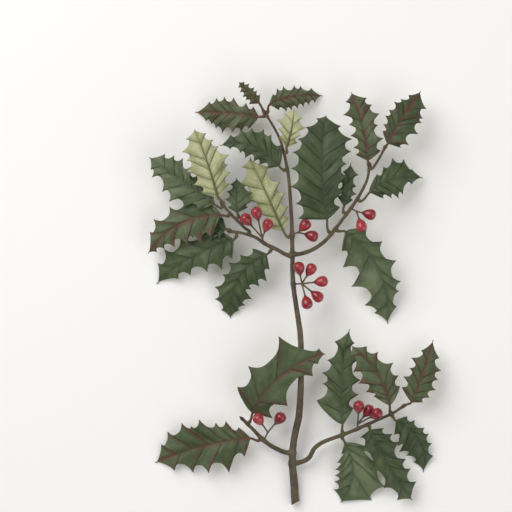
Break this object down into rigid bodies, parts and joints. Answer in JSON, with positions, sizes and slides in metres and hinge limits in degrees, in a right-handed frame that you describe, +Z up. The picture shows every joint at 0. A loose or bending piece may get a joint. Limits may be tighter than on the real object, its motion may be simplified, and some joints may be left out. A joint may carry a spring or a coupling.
{
  "type": "holly sprig",
  "caption": "Cut sprig of holly lying down: a woody stem with forked side shoots, broad wavy leaves edged with spines, and small clusters of oval red berries on short stalks.",
  "frame": {"origin": "on the surface the sprig lies on, under the middle of its bounding box", "axes": "+Y along the main stem from the cut end to the tip, +Z straight up from the surface, +X to the right seen from above with the cut end nearest"},
  "size_m": [0.2118, 0.3054, 0.0395],
  "materials": {
    "bark": "matte",
    "young_bark": "matte",
    "leaf_green": "satin",
    "leaf_red_veined": "satin",
    "leaf_underside": "satin",
    "berry_stalk": "matte",
    "berry": "gloss"
  },
  "bodies": {
    "root": {"main_stem": "bark", "lower_left_shoot": "young_bark", "lower_right_shoot": "young_bark", "upper_left_shoot": "young_bark", "upper_left_twig": "young_bark", "upper_right_shoot": "young_bark", "upper_right_twig": "young_bark", "leaf_low_left_outer": "leaf_red_veined", "leaf_low_left_inner": "leaf_red_veined", "leaf_low_right_upright": "leaf_green", "leaf_low_right_upper": "leaf_red_veined", "leaf_low_right_end": "leaf_red_veined", "leaf_low_right_hanging": "leaf_green", "leaf_low_right_lower": "leaf_green", "leaf_low_right_bottom": "leaf_green", "leaf_high_right_top": "leaf_red_veined", "leaf_high_right_end": "leaf_red_veined", "leaf_high_right_side": "leaf_green", "leaf_high_right_drooping": "leaf_green", "leaf_high_middle_broad": "leaf_green", "leaf_high_middle_small": "leaf_green", "leaf_high_left_upper": "leaf_green", "leaf_high_left_outer": "leaf_red_veined", "leaf_high_left_lower": "leaf_green", "leaf_high_left_middle": "leaf_green", "leaf_high_left_inner": "leaf_green", "leaf_high_left_hanging": "leaf_green", "leaf_high_left_turned": "leaf_underside", "leaf_high_inner_turned": "leaf_underside", "leaf_top_left": "leaf_red_veined", "leaf_top_small": "leaf_red_veined", "leaf_top_right": "leaf_red_veined", "leaf_top_low_left": "leaf_green", "leaf_top_turned": "leaf_underside", "lower_left_berry_stalk": "berry_stalk", "lower_left_berry_1": "berry", "lower_left_berry_2": "berry", "lower_right_berry_stalk": "berry_stalk", "lower_right_berry_1": "berry", "lower_right_berry_2": "berry", "lower_right_berry_3": "berry", "middle_berry_stalk": "berry_stalk", "middle_berry_1": "berry", "middle_berry_2": "berry", "middle_berry_3": "berry", "middle_berry_4": "berry", "middle_berry_5": "berry", "upper_stem_berry_stalk": "berry_stalk", "upper_stem_berry_1": "berry", "upper_stem_berry_2": "berry", "upper_left_berry_stalk": "berry_stalk", "upper_left_berry_1": "berry", "upper_left_berry_2": "berry", "upper_left_berry_3": "berry", "upper_right_berry_stalk": "berry_stalk", "upper_right_berry_1": "berry", "upper_right_berry_2": "berry"}
  },
  "joints": []
}
